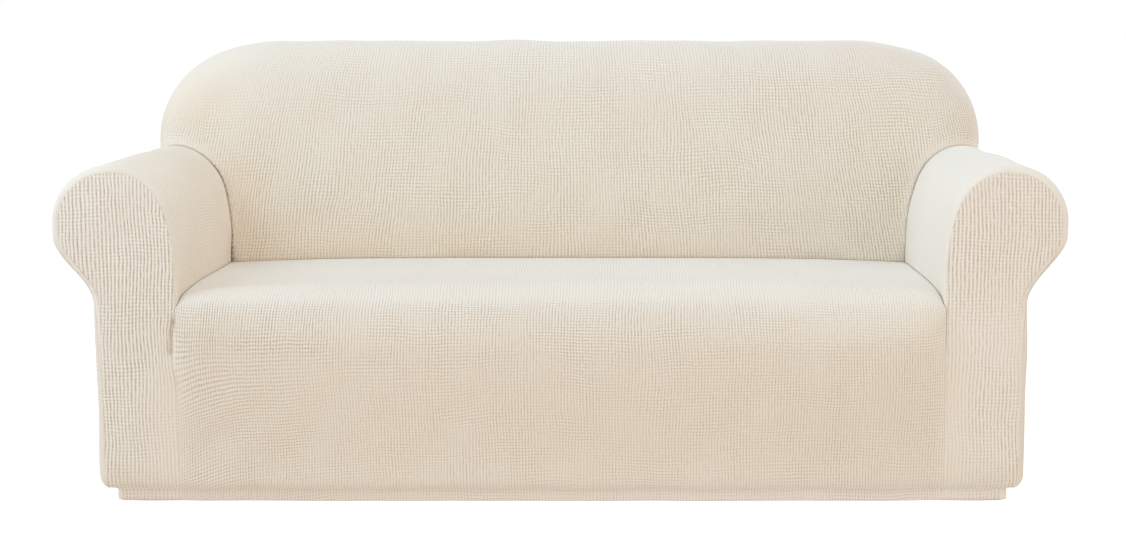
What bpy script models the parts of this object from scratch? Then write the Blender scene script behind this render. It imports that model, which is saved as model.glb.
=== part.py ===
"""A one-piece stretch slipcover for a three-seat sofa with rolled arms, in the shape it takes on the sofa.

Metres, +Z up, +X to the right of someone who faces the cover, +Y to its back. The origin is on the level
of the hem's lower edge, under the middle of the cover. The sofa is not part of the object, so the cover is
a hollow shell: seven knitted panels, each lofted row by row between its seams and given its thickness.
Depths are counted from the arms' front faces towards the back, and START turns them into Y.
"""

import math

import bmesh
import bpy
import numpy as np

# The cloth.
CLOTH = 0.002  # thickness of the knit
SEAM_GAP = 0.0004  # between two panels that are sewn together
CUT_SPARE = 1.15  # share by which the cloth is cut back further over a rounded edge
CUT_MOST = 0.0024  # and the most that it is cut back

# Across the cover, measured from its middle.
ROLL_X = 0.993  # outermost point of the arms' rolls
SIDE_X = 0.917  # outer sides below the rolls
INNER_X_FRONT = 0.7495  # inner faces of the arms, at their front
INNER_X_BACK = 0.753  # and at the backrest
APEX_X_FRONT = 0.878  # highest line of the rolls, at their front
APEX_X_BACK = 0.875  # and at the backrest
ROLL_FULL = 0.0090  # how much fuller the rolls are on their inner side than a quarter of an ellipse
BACK_X = 0.939  # sides of the backrest above the arms
TOP_FLAT_X = 0.640  # where the backrest's top starts to round off
CORNER_FULL = 0.0085  # how much its corners are fuller than a quarter of an ellipse

# Heights.
HEIGHT = 0.899
ARM_TOP_Z = 0.669
SHOULDER_Z = 0.450  # where the arms' inner faces start to round over
BULGE_Z = 0.555  # height of the rolls' outermost point
TUCK_Z = 0.530  # the outer sides bend in below this height
SIDE_TOP_Z = 0.395  # and are upright below this one
BACK_CORNER_Z = 0.692  # where the backrest's sides start to round off
EAR_Z = 0.662  # where the backrest's sides meet the arms
SEAT_SEAM_Z = 0.4145  # seam between seat and arm
SEAT_FALL = 0.008  # how much lower that seam is at the backrest
SEAT_CORNER_Z = 0.380  # its front end
SEAT_CROWN = 0.0115  # how much higher the middle of the seat is
HEM_TURN_Z = 0.054  # the cloth turns in under the frame below this height
UNDERSIDE_Z = 0.0270  # level of the part that is turned in

# Depths behind the arms' front faces.
START = -0.422  # Y of the arms' front faces
EDGE_R = 0.024  # rounding round the arms' front faces
INNER_EDGE_R = 0.009  # and down their inner sides
EDGE_ANGLE = math.radians(70)  # how far round it the seam lies
SEAT_BACK = 0.560  # foot of the backrest
NOSE_BACK = 0.115  # where the seat starts to round over to the front
SIDE_NOSE_BACK = 0.220  # and where its side seam does so
NOSE_PROUD = 0.036  # how far the seat's front stands before the arms' faces
NOSE_Z = 0.300  # height at which it does
CORNER_CROWN, CORNER_BACK = 0.0075, 0.055  # the same close to the arms, where the edge is tighter
CORNER_PROUD, CORNER_Z = 0.030, 0.340
FOOT_PROUD = 0.006  # and how far at the bottom
TOP_DEPTH = 0.770  # ridge of the backrest
SEAM_DEPTH = 0.862  # seam round the outside back
REAR = 0.880  # outside back
REAR_R = 0.045  # rounding of the rear edges
BACK_FACE_R = 0.100  # how far in from its outline the backrest's face starts to roll back
BACK_REAR_R = 0.050  # how it rounds down to the rear seam
BACK_REAR_TURN = math.radians(60)
ARM_FRONT_PUFF = 0.004  # how much the middle of an arm's front stands out
ARM_FRONT_SOFT = 0.05  # over this distance from its seams
ARM_FRONT_ROWS = 4  # rows of the arm panel up the inner side of its front

# How far the hem is turned in on each side.
HEM_IN_SIDE = 0.029
HEM_IN_FRONT = 0.022
HEM_IN_REAR = 0.022

# The middle of the backrest's face: height, depth.
BACK_FACE = (
    (0.400, 0.560),
    (0.445, 0.546),
    (0.515, 0.543),
    (0.615, 0.562),
    (0.715, 0.598),
    (0.815, 0.642),
    (0.920, 0.690),
)
BACK_BELLY = 0.012  # how much further forward its middle is than its sides

# The seam between backrest and arm from the backrest's face to the rear: way along it, place round the
# arm's section (see arm_section), depth.
EAR_SEAM = (
    (0.00, 1.60, 0.576),
    (0.25, 2.05, 0.606),
    (0.50, 2.27, 0.650),
    (0.75, 2.40, 0.745),
    (1.00, 2.55, SEAM_DEPTH),
)
EAR_START, EAR_END = EAR_SEAM[0][1], EAR_SEAM[-1][1]

# Ways up the backrest's sides, and so up the arm panels' rear ends: 0 at the seat, FACE_END where the
# backrest's face ends, RIDGE on its highest line and 1 at the rear seam.
BACK_WAYS = (0.0, 0.11, 0.22, 0.31, 0.375, 0.44, 0.5, 0.54, 0.58, 0.63, 0.68, 0.75, 0.82, 0.91, 0.955, 1.0)
FACE_END, RIDGE = 0.50, 0.82
# Places round the arm's section below that seam.
ARM_PLACES_BELOW = (2.78, 3.0, 3.22, 3.45, 3.7, 4.0, 4.35, 4.7, 5.0, 5.2, 5.4, 5.52, 5.65, 6.0)
# Ways from the front edge (0) to the rear edge (1) of the arm panels.
ARM_WAYS = (0.0, 0.025, 0.05, 0.10, 0.165, 0.24, 0.40, 0.56, 0.72, 0.88, 0.94, 1.0)
FRONT_ROUNDING, REAR_ROUNDING = 0.10, 0.88
# How far the seat has rounded over to its front: way along the arm beside it, share of the quarter turn.
NOSE_TURN = ((0.00, 1.00), (0.05, 0.71), (0.10, 0.41), (0.165, 0.16), (0.24, 0.00))
NOSE_WAY = NOSE_TURN[-1][0]
# Columns of the seat and the backs, from the middle (0) to the arm (1).
COLUMNS = (0.0, 0.15, 0.30, 0.44, 0.56, 0.64, 0.72, 0.80, 0.87, 0.93, 0.97, 0.985, 1.0)
REAR_CORNER = 0.80  # column at which the rear panel's side turns into its top
REAR_RING = 0.022  # how far inside its seams the rear panel has one more row
TOP_FLAT_END, CORNER_END = 0.64, 0.93  # columns between which the backrest's corner is rounded
# Places down the front of the seat panel, from its corner (2) to the hem (3 to 4).
DROP_PLACES = (2.0, 2.25, 2.5, 2.75, 3.0, 3.2, 3.4, 3.52, 3.65, 4.0)

# Which edge of each panel hangs free as hem: 0 its first row, 1 its last.
HEM_EDGE = {
    "seat_front": 1,
    "inside_back": None,
    "outside_back": 0,
    "arm_right": 1,
    "arm_left": 1,
    "arm_front_right": 0,
    "arm_front_left": 0,
}

# Soft troughs (+) and ridges (-) in the stretched cloth: one end, other end, width, push.
FOLDS = (
    ("left seat corner", (-0.757, -0.006, 0.345), (-0.757, -0.004, 0.262), 0.012, (0.0, 0.007, 0.0)),
    ("left drag line", (-0.70, -0.010, 0.110), (-0.58, -0.030, 0.190), 0.030, (0.0, 0.003, 0.0)),
    ("right drag line", (0.72, -0.008, 0.090), (0.66, -0.016, 0.150), 0.030, (0.0, 0.0025, 0.0)),
    ("left lumbar pull", (-0.70, 0.548, 0.430), (-0.56, 0.545, 0.500), 0.040, (0.0, 0.004, 0.0)),
    ("right lumbar pull", (0.70, 0.548, 0.425), (0.58, 0.545, 0.480), 0.035, (0.0, 0.004, 0.0)),
)


def smoothstep(low, high, x):
    """0 below low, 1 above high, and a smooth rise between them."""
    share = np.clip((np.asarray(x, float) - low) / (high - low), 0.0, 1.0)
    return share * share * (3.0 - 2.0 * share)


def blend(a, b, share):
    return a + (b - a) * share


def curve(table, x, column=1):
    """A smooth curve through one of a table's columns, over its first column."""
    at = np.array([row[0] for row in table])
    value = np.array([row[column] for row in table])
    slope = np.gradient(value, at)
    x = np.clip(np.asarray(x, float), at[0], at[-1])
    i = np.clip(np.searchsorted(at, x, side="right") - 1, 0, len(at) - 2)
    step = at[i + 1] - at[i]
    s = (x - at[i]) / step
    bend_a = (2 * s**3 - 3 * s**2 + 1) * value[i] + (s**3 - 2 * s**2 + s) * step * slope[i]
    bend_b = (3 * s**2 - 2 * s**3) * value[i + 1] + (s**3 - s**2) * step * slope[i + 1]
    return bend_a + bend_b


def points(x, depth, z):
    """Points in the part's frame, from widths, depths and heights."""
    x, depth, z = np.broadcast_arrays(x, depth, z)
    return np.stack([x, depth, z], axis=-1).astype(float)


def hem(way):
    """(share of the way in, height) of the hem, from where the cloth turns in (0) to its lower edge (1)."""
    way = np.clip(way, 0.0, 1.0)
    turn = np.clip(way / 0.4, 0, 1) * math.pi / 2
    band = np.clip((way - 0.4) / 0.25, 0, 1) * math.pi / 2
    share = 0.55 * (1 - np.cos(turn)) + 0.45 * np.sin(band)
    height = blend(HEM_TURN_Z, UNDERSIDE_Z, np.sin(turn)) - 0.0085 * (1 - np.cos(band))
    edge = np.clip((way - 0.65) / 0.35, 0, 1)
    return share, height * (1 - edge)


def seat_seam_z(depth):
    """Height of the seam between seat and arm."""
    corner = INNER_EDGE_R * (1 - math.sin(EDGE_ANGLE))
    dip = np.clip((SIDE_NOSE_BACK - depth) / (SIDE_NOSE_BACK - corner), 0.0, 1.0)
    behind = np.clip((depth - SIDE_NOSE_BACK) / (SEAT_BACK - SIDE_NOSE_BACK), 0, 1)
    return blend(SEAT_CORNER_Z, SEAT_SEAM_Z - SEAT_FALL * behind**2, (1 - dip**2) ** 0.26)


def arm_section(place, along, seam_z):
    """(x, z) round the right arm: place 0 at the seat seam, 1 where the inner face starts to round over,
    2 on top, 3 at the outermost point, 4 where the outer side is upright, 5 where the hem turns in and 6 at
    its lower edge. along is 0 at the arm's front and 1 at the backrest."""
    inner = blend(INNER_X_FRONT, INNER_X_BACK, along)
    apex = blend(APEX_X_FRONT, APEX_X_BACK, along)
    leg = np.clip(place[..., None] - np.arange(6), 0.0, 1.0)
    quarter = leg * math.pi / 2
    z = blend(seam_z, SHOULDER_Z, leg[..., 0]) + (ARM_TOP_Z - SHOULDER_Z) * np.sin(quarter[..., 1])
    x = inner + (apex - inner) * (1 - np.cos(quarter[..., 1]))
    full = ROLL_FULL * math.sqrt(0.5) * np.sin(2 * quarter[..., 1]) ** 2
    x, z = x - full + (ROLL_X - apex) * np.sin(quarter[..., 2]), z + full
    z = z - (ARM_TOP_Z - BULGE_Z) * (1 - np.cos(quarter[..., 2]))
    z = z - (BULGE_Z - SIDE_TOP_Z) * leg[..., 3] - (SIDE_TOP_Z - HEM_TURN_Z) * leg[..., 4]
    tucked = 1 - smoothstep(SIDE_TOP_Z, TUCK_Z, z)
    x = x - (ROLL_X - SIDE_X) * tucked * (place > 3)
    share, hem_z = hem(leg[..., 5])
    return x - HEM_IN_SIDE * share, np.where(place > 5, hem_z, z)


def section_outwards(place, along, seam_z):
    """Unit normals of the arm's section, as (x, z), pointing out of the arm."""
    step = 0.004
    x0, z0 = arm_section(np.maximum(place - step, 0), along, seam_z)
    x1, z1 = arm_section(np.minimum(place + step, 6), along, seam_z)
    length = np.hypot(x1 - x0, z1 - z0)
    return (z0 - z1) / length, (x1 - x0) / length


def back_face(x, z):
    """Depth of the backrest's face."""
    return curve(BACK_FACE, z) + BACK_BELLY * (x / BACK_X) ** 2


def ear_place(way):
    """Place round the arm's section of a way along the ear seam."""
    return curve(EAR_SEAM, way)


def ear_way(place):
    """Way along the ear seam of a place round the arm's section."""
    ways = np.linspace(0, 1, 201)
    return np.interp(place, curve(EAR_SEAM, ways), ways)


def arm_end(place):
    """Depth at which the arm panel ends, at each place round its section."""
    x, z = arm_section(np.minimum(place, EAR_START), np.ones_like(place), SEAT_SEAM_Z - SEAT_FALL)
    on_face = back_face(x, z)
    return np.where(place < EAR_START, on_face, curve(EAR_SEAM, ear_way(place), 2))


def arm_panel(place, way):
    """The right arm's panel: place round its section, and way from its front seam (0) to its rear edge (1)."""
    place, way = np.broadcast_arrays(np.asarray(place, float), np.asarray(way, float))
    edge = EDGE_ANGLE * (1 - np.clip(way / FRONT_ROUNDING, 0, 1))
    edge_r = blend(INNER_EDGE_R, EDGE_R, smoothstep(1.2, 2.2, place))
    past_ear = smoothstep(2.0, EAR_END, place)
    tail = blend(0.020, SEAM_DEPTH - (REAR - REAR_R), past_ear)
    middle = np.clip((way - FRONT_ROUNDING) / (REAR_ROUNDING - FRONT_ROUNDING), 0, 1)
    last = np.clip((way - REAR_ROUNDING) / (1 - REAR_ROUNDING), 0, 1)
    end = arm_end(place)
    turned_in, _ = hem(place - 5)
    depth = blend(edge_r * (1 - np.sin(edge)), end - tail, middle) + tail * last
    turn = math.asin((SEAM_DEPTH - (REAR - REAR_R)) / REAR_R)
    depth = depth + turned_in * (HEM_IN_FRONT * (1 - middle) - HEM_IN_REAR * middle)
    inset = edge_r * (1 - np.cos(edge)) + REAR_R * (1 - np.cos(turn * last)) * past_ear
    along = np.clip(depth / SEAT_BACK, 0, 1)
    seam_z = seat_seam_z(depth)
    x, z = arm_section(place, along, seam_z)
    out_x, out_z = section_outwards(place, along, seam_z)
    upright = 1 - smoothstep(5.0, 5.1, place)
    return points(x - inset * out_x, depth, z - inset * out_z * upright)


def seat_side(profile):
    """The seat panel's right side, from the backrest (0) over its front corner (2) to the hem (3 to 4)."""
    seam = arm_panel(np.zeros_like(profile), np.clip(1 - profile / 2, 0, 1))
    corner = arm_panel(0.0, 0.0)
    share, hem_z = hem(profile - 3)
    z = np.where(profile > 3, hem_z, blend(SEAT_CORNER_Z, HEM_TURN_Z, np.clip(profile - 2, 0, 1)))
    drop = points(corner[0], corner[1] + HEM_IN_FRONT * share, z)
    return np.where((profile > 2)[..., None], drop, seam)


def seat_line(profile, crown, nose_back, nose_proud, nose_z):
    """A line down the seat panel where it lies crown above its side seam, by the same places."""
    top = SEAT_SEAM_Z + crown
    beside = seat_side(np.minimum(profile, 2.0))[..., 1]
    first, last = seat_side(np.array([2 * (1 - NOSE_WAY), 0.0]))[:, 1]
    behind = np.clip((beside - first) / (last - first), 0, 1)
    nose = curve(NOSE_TURN, 1 - profile / 2) * math.pi / 2
    share, hem_z = hem(profile - 3)
    depth = blend(nose_back, back_face(0.0, top - SEAT_FALL), behind)
    depth = depth - (nose_back + nose_proud) * np.sin(nose)
    depth = depth + (nose_proud - FOOT_PROUD) * smoothstep(2, 3, profile) + HEM_IN_FRONT * share
    z = top - SEAT_FALL * behind**2 - (top - nose_z) * (1 - np.cos(nose))
    z = z - (nose_z - HEM_TURN_Z) * np.clip(profile - 2, 0, 1)
    return points(0.0, depth, np.where(profile > 3, hem_z, z))


def seat_front(column, profile):
    """The seat panel: full in its middle, with a tighter edge towards the arms, and square against them at
    its front."""
    column, profile = np.broadcast_arrays(np.asarray(column, float), np.asarray(profile, float))
    side = seat_side(profile)
    middle = seat_line(profile, SEAT_CROWN, NOSE_BACK, NOSE_PROUD, NOSE_Z)
    corner = seat_line(profile, CORNER_CROWN, CORNER_BACK, CORNER_PROUD, CORNER_Z)
    boxy = 5 + 45 * smoothstep(1.5, 1.75, profile) * (1 - smoothstep(2.0, 3.0, profile))
    made = blend(middle, corner, (np.abs(column) ** 4)[..., None])
    made = blend(made, side, (np.abs(column) ** boxy)[..., None])
    made[..., 0] = column * side[..., 0]
    return made


def back_outline(column):
    """(x, z) of the backrest's outline and its outward direction, from the middle (0) to the arm (1)."""
    column = np.abs(np.asarray(column, float))
    flat = np.clip(column / TOP_FLAT_END, 0, 1)
    turn = np.clip((column - TOP_FLAT_END) / (CORNER_END - TOP_FLAT_END), 0, 1) * math.pi / 2
    down = np.clip((column - CORNER_END) / (1 - CORNER_END), 0, 1)
    wide, high = BACK_X - TOP_FLAT_X, HEIGHT - BACK_CORNER_Z
    x = TOP_FLAT_X * flat + wide * np.sin(turn)
    z = HEIGHT - high * (1 - np.cos(turn)) - (BACK_CORNER_Z - EAR_Z) * down
    out_x, out_z = high * np.sin(turn), wide * np.cos(turn)
    length = np.hypot(out_x, out_z)
    out_x, out_z = out_x / length, out_z / length
    full = CORNER_FULL * np.sin(2 * turn) ** 2
    return x + full * out_x, z + full * out_z, out_x, out_z


def back_place(way):
    """Place round the arm's section at a way up the backrest's side."""
    on_ear = ear_place(np.clip((way - FACE_END) / (1 - FACE_END), 0, 1))
    return np.where(way < FACE_END, way / FACE_END * EAR_START, on_ear)


def back_free(column, way):
    """The right half of the inside back as it would be with no arm beside it."""
    foot = seat_front(column, np.zeros_like(column))
    x, z, out_x, out_z = back_outline(column)
    end_x, end_z = x - BACK_FACE_R * out_x, z - BACK_FACE_R * out_z
    up = np.clip(way / FACE_END, 0, 1)
    face_x, face_z = blend(foot[..., 0], end_x, up), blend(foot[..., 2], end_z, up)
    to_foot = (foot[..., 1] - back_face(foot[..., 0], foot[..., 2])) * (1 - smoothstep(0, 0.4, up))
    face = points(face_x, back_face(face_x, face_z) + to_foot, face_z)
    # Over the rounded edge, from the face's end to the ridge.
    lean = (back_face(end_x, end_z) - back_face(end_x - 0.01 * out_x, end_z - 0.01 * out_z)) / 0.01
    start = points(end_x, back_face(end_x, end_z), end_z)
    heading = points(out_x, lean, out_z) * (0.55 * BACK_FACE_R)
    ridge = points(x, TOP_DEPTH, z)
    arrival = points(0.0, 0.55 * (TOP_DEPTH - start[..., 1]), 0.0)
    s = np.clip((way - FACE_END) / (RIDGE - FACE_END), 0, 1)[..., None]
    over = (1 - s) ** 3 * start + 3 * s * (1 - s) ** 2 * (start + heading)
    over = over + 3 * s**2 * (1 - s) * (ridge - arrival) + s**3 * ridge
    # Down to the rear seam.
    turn = np.clip((way - RIDGE) / (1 - RIDGE), 0, 1) * BACK_REAR_TURN
    inset = BACK_REAR_R * (1 - np.cos(turn))
    depth = TOP_DEPTH + (SEAM_DEPTH - TOP_DEPTH) * np.sin(turn) / math.sin(BACK_REAR_TURN)
    behind = points(x - inset * out_x, depth, z - inset * out_z)
    made = np.where((way < FACE_END)[..., None], face, over)
    return np.where((way > RIDGE)[..., None], behind, made)


def inside_back(column, way):
    """The inside back: seat seam (way 0) to rear seam (1), drawn on to the arms at its sides."""
    column, way = np.broadcast_arrays(np.asarray(column, float), np.asarray(way, float))
    half = np.abs(column)
    made = back_free(half, way)
    side = arm_panel(back_place(way), 1.0)
    near = smoothstep(0.72, 1.0, half)[..., None]
    made = made + (side - back_free(np.ones_like(way), way)) * near
    made[..., 0] = made[..., 0] * np.where(column < 0, -1, 1)
    return made


def fill(bottom, top, left, right, rise):
    """A patch inside four lists of points. rise is how far up each row stands."""
    across = np.linalg.norm(np.diff(bottom, axis=0), axis=1).cumsum()
    s = np.concatenate([[0], across / across[-1]])[None, :, None]
    r = np.asarray(rise, float)[:, None, None]
    ends = blend(blend(bottom[0], bottom[-1], s), blend(top[0], top[-1], s), r)
    return blend(left[:, None], right[:, None], s) + blend(bottom[None], top[None], r) - ends


def rise_of(line):
    """How far up a side line each of its points stands, 0 in the hem and 1 at its end."""
    up = np.clip((line[:, 2] - HEM_TURN_Z) / (line[-1, 2] - HEM_TURN_Z), 0, 1)
    return np.maximum.accumulate(up)


def ringed(grid):
    """The rear panel's patch with one more row and column just inside its seams, where it rounds over."""
    for edge in ("left", "right", "top"):
        view = grid if edge == "top" else grid.swapaxes(0, 1)
        view = view[::-1] if edge == "left" else view
        step = view[-2] - view[-1]
        share = np.minimum(REAR_RING / np.linalg.norm(step, axis=-1, keepdims=True), 0.6)
        view = np.concatenate([view[:-1], (view[-1] + share * step)[None], view[-1:]])
        view = view[::-1] if edge == "left" else view
        grid = view if edge == "top" else view.swapaxes(0, 1)
    return grid


def from_rim(grid, free_rows=0):
    """Distance in the XZ plane from each point to the nearest point of the grid's seams."""
    rim = np.concatenate([grid[free_rows:, 0], grid[free_rows:, -1], grid[-1]])
    flat = grid.reshape(-1, 3)
    away = np.hypot(flat[:, None, 0] - rim[None, :, 0], flat[:, None, 2] - rim[None, :, 2])
    return away.min(axis=1).reshape(grid.shape[:2])


def fold(grid):
    """Presses the FOLDS into a sheet."""
    made = grid.copy()
    for _, start, end, width, push in FOLDS:
        start, along = np.array(start), np.subtract(end, start)
        share = np.clip(((grid - start) @ along) / (along @ along), 0, 1)
        away = np.linalg.norm(grid - start - share[..., None] * along, axis=-1)
        made = made + np.exp(-((away / width) ** 2))[..., None] * np.array(push)
    return made


def seam_lines(grid):
    """A sheet's edges, each with the line of points just inside it: its first and last rows and columns."""
    turned = grid.swapaxes(0, 1)
    return ((grid[0], grid[1]), (grid[-1], grid[-2]), (turned[0], turned[1]), (turned[-1], turned[-2]))


def unit(vectors):
    return vectors / np.linalg.norm(vectors, axis=-1, keepdims=True)


def outward_normals(grid, outward):
    return unit(np.cross(np.gradient(grid, axis=0), np.gradient(grid, axis=1))) * outward


def cut_back(sheets):
    """Cuts each sheet back from its seams: by half the gap where two sheets lie level or meet in a hollow,
    and further over a rounded edge, so that their inner sides keep apart. The hem is not cut."""
    meeting = {}
    for name, (grid, outward) in sheets.items():
        normals = seam_lines(outward_normals(grid, outward))
        for edge, (rim, inside) in enumerate(seam_lines(grid)):
            for i, point in enumerate(rim):
                step = unit(inside[i] - point)
                found = meeting.setdefault(tuple(np.round(point, 5) + 0.0), [])
                found.append((name, edge, i, step, normals[edge][0][i]))
    for name, (grid, _) in sheets.items():
        moves = [np.zeros_like(rim) for rim, _ in seam_lines(grid)]
        for found in meeting.values():
            for mine in (entry for entry in found if entry[0] == name):
                others = [entry for entry in found if entry[0] != name]
                if others and not (HEM_EDGE[name] == mine[1]):
                    cuts = [cut_at(mine[3], other[3], mine[4]) for other in others]
                    moves[mine[1]][mine[2]] = max(cuts) * mine[3]
        for (rim, _), move in zip(seam_lines(grid), moves):
            rim += move


def cut_at(step, other_step, normal):
    """How far to cut a sheet back where it meets another, from the ways each runs off."""
    bend = math.acos(np.clip(step @ -other_step, -1, 1))
    raised = (step + other_step) @ normal < 0
    return SEAM_GAP / 2 + (min(CLOTH * CUT_SPARE * math.tan(bend / 2), CUT_MOST) if raised else 0.0)


def cloth_material():
    material = bpy.data.materials.new("stretch knit")
    material.use_nodes = True
    shader = material.node_tree.nodes["Principled BSDF"]
    shader.inputs["Base Color"].default_value = (0.80, 0.73, 0.62, 1.0)
    shader.inputs["Roughness"].default_value = 0.9
    return material


def make_panel(name, grid, outward, material, cover):
    """A panel's node. outward is 1 where rows crossed with columns point out of the cover, else -1."""
    grid = grid + np.array([0.0, START, 0.0])
    rows, columns = grid.shape[:2]
    mesh = bpy.data.meshes.new(name)
    work = bmesh.new()
    verts = [[work.verts.new(tuple(point)) for point in row] for row in grid]
    for i in range(rows - 1):
        for j in range(columns - 1):
            a, b, c, d = verts[i][j], verts[i + 1][j], verts[i + 1][j + 1], verts[i][j + 1]
            if (a.co - c.co).length < (b.co - d.co).length:
                corners = ((a, b, c), (a, c, d))
            else:
                corners = ((a, b, d), (b, c, d))
            for face in corners:
                work.faces.new(face if outward > 0 else face[::-1])
    work.to_mesh(mesh)
    work.free()
    mesh.materials.append(material)
    panel = bpy.data.objects.new(name, mesh)
    thick = panel.modifiers.new("cloth", "SOLIDIFY")
    thick.thickness = CLOTH
    thick.offset = -1
    thick.use_even_offset = True
    mesh.shade_smooth()
    cover.objects.link(panel)


def mirrored(grid):
    return grid * np.array([-1.0, 1.0, 1.0])


def build():
    for thing in list(bpy.data.objects):
        bpy.data.objects.remove(thing)
    material = cloth_material()
    cover = bpy.data.collections.new("sofa_slipcover")
    bpy.context.scene.collection.children.link(cover)
    columns = np.array([-c for c in COLUMNS[:0:-1]] + list(COLUMNS))
    ways = np.array(BACK_WAYS)
    places = np.concatenate([back_place(ways), ARM_PLACES_BELOW])
    ear_row = len(BACK_WAYS) - 1

    arm = arm_panel(places[:, None], np.array(ARM_WAYS)[None, :])
    profile = np.concatenate([2 * (1 - np.array(ARM_WAYS[::-1])), DROP_PLACES[1:]])
    seat = seat_front(columns[None, :], profile[:, None])
    back = inside_back(columns[None, :], ways[:, None])

    # The rear panel hangs from the rear seam, between the rear ends of the arms.
    beside = len(COLUMNS) - 1 - COLUMNS.index(REAR_CORNER)
    right = np.concatenate([arm[ear_row:, -1][::-1], back[-1, -beside - 1 : -1][::-1]])
    crest = back[-1, beside:-beside]
    across = np.linspace(-1, 1, len(crest))
    bottom = points(across * right[0, 0], right[0, 1], right[0, 2])
    rear = fill(bottom, crest, mirrored(right), right, rise_of(right))
    rear = ringed(rear)
    rounding = np.clip(1 - from_rim(rear) / REAR_R, 0, 1) ** 2
    rear[..., 1] += (REAR - SEAM_DEPTH) * (1 - rounding)

    # The arm's front: up from the hem between the seat and the arm's outer side, closed by its roll.
    seat_edge = seat[len(ARM_WAYS) - 1 :, -1][::-1]
    rows = len(seat_edge) + ARM_FRONT_ROWS
    inner = np.concatenate([seat_edge, arm[1 : ARM_FRONT_ROWS + 1, 0]])
    outer = arm[-rows:, 0][::-1]
    crest = arm[ARM_FRONT_ROWS : len(places) - rows + 1, 0]
    share = np.linspace(0, 1, len(crest))[:, None]
    front = fill(blend(inner[0], outer[0], share), crest, inner, outer, rise_of(outer))
    front[..., 1] -= ARM_FRONT_PUFF * np.clip(from_rim(front) / ARM_FRONT_SOFT, 0, 1) ** 0.7

    sheets = {
        "seat_front": (fold(seat), 1),
        "inside_back": (fold(back), -1),
        "outside_back": (fold(rear), 1),
        "arm_right": (fold(arm), 1),
        "arm_left": (fold(mirrored(arm)), -1),
        "arm_front_right": (fold(front), -1),
        "arm_front_left": (fold(mirrored(front)), 1),
    }
    cut_back(sheets)
    for name, (grid, outward) in sheets.items():
        make_panel(name, grid, outward, material, cover)


build()
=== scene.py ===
"""The looks of a fitted sofa slipcover in beige stretch knit: seven sewn panels, drawn tight over a sofa that
is itself left out. Metres, +Z up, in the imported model's frame, so the front of the cover faces -Y."""

import math

import bpy
import mathutils
import numpy as np
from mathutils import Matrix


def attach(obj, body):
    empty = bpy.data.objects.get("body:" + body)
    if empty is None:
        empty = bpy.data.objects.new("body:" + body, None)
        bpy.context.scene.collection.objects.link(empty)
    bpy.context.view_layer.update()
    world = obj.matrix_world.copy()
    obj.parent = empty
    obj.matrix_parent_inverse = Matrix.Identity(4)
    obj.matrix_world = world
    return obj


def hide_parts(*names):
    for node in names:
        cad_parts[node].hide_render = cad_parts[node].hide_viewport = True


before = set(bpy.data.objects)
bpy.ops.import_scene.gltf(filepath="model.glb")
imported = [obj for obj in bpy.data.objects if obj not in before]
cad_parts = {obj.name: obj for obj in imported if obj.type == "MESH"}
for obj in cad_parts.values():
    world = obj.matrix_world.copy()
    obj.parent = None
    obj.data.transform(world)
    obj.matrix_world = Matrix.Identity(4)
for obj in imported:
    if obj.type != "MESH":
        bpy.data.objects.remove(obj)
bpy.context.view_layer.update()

# The cloth.
CLOTH = 0.002  # thickness of the knit

# Across the cover, measured from its middle.
ROLL_X = 0.993  # outermost point of the arms' rolls
SIDE_X = 0.917  # outer sides below the rolls
INNER_X_FRONT = 0.7495  # inner faces of the arms, at their front
INNER_X_BACK = 0.753  # and at the backrest
APEX_X_FRONT = 0.878  # highest line of the rolls, at their front
APEX_X_BACK = 0.875  # and at the backrest
ROLL_FULL = 0.0090  # how much fuller the rolls are on their inner side than a quarter of an ellipse
BACK_X = 0.939  # sides of the backrest above the arms
TOP_FLAT_X = 0.640  # where the backrest's top starts to round off
CORNER_FULL = 0.0085  # how much its corners are fuller than a quarter of an ellipse

# Heights.
HEIGHT = 0.899
ARM_TOP_Z = 0.669
SHOULDER_Z = 0.450  # where the arms' inner faces start to round over
BULGE_Z = 0.555  # height of the rolls' outermost point
TUCK_Z = 0.530  # the outer sides bend in below this height
SIDE_TOP_Z = 0.395  # and are upright below this one
BACK_CORNER_Z = 0.692  # where the backrest's sides start to round off
EAR_Z = 0.662  # where the backrest's sides meet the arms
SEAT_SEAM_Z = 0.4145  # seam between seat and arm
SEAT_FALL = 0.008  # how much lower that seam is at the backrest
SEAT_CORNER_Z = 0.380  # its front end
SEAT_SEAM_BEND = 0.26  # how squarely it turns down there: 0 at once, 1 slowly
SEAT_CROWN = 0.0115  # how much higher the middle of the seat is
HEM_TURN_Z = 0.054  # the cloth turns in under the frame below this height
UNDERSIDE_Z = 0.0270  # level of the part that is turned in

# Depths behind the arms' front faces.
START = -0.422  # Y of the arms' front faces
EDGE_R = 0.024  # rounding round the arms' front faces
INNER_EDGE_R = 0.009  # and down their inner sides
EDGE_ANGLE = math.radians(70)  # how far round it the seam lies
SEAT_BACK = 0.560  # foot of the backrest
NOSE_BACK = 0.115  # where the seat starts to round over to the front
SIDE_NOSE_BACK = 0.220  # and where its side seam does so
NOSE_PROUD = 0.036  # how far the seat's front stands before the arms' faces
NOSE_Z = 0.300  # height at which it does
CORNER_CROWN, CORNER_BACK = 0.0075, 0.055  # the same close to the arms, where the edge is tighter
CORNER_PROUD, CORNER_Z = 0.030, 0.340
FOOT_PROUD = 0.006  # and how far at the bottom
TOP_DEPTH = 0.770  # ridge of the backrest
SEAM_DEPTH = 0.862  # seam round the outside back
REAR = 0.880  # outside back
REAR_R = 0.045  # rounding of the rear edges
BACK_FACE_R = 0.100  # how far in from its outline the backrest's face starts to roll back
BACK_REAR_R = 0.050  # how it rounds down to the rear seam
BACK_REAR_TURN = math.radians(60)
ARM_FRONT_PUFF = 0.004  # how much the middle of an arm's front stands out
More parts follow.
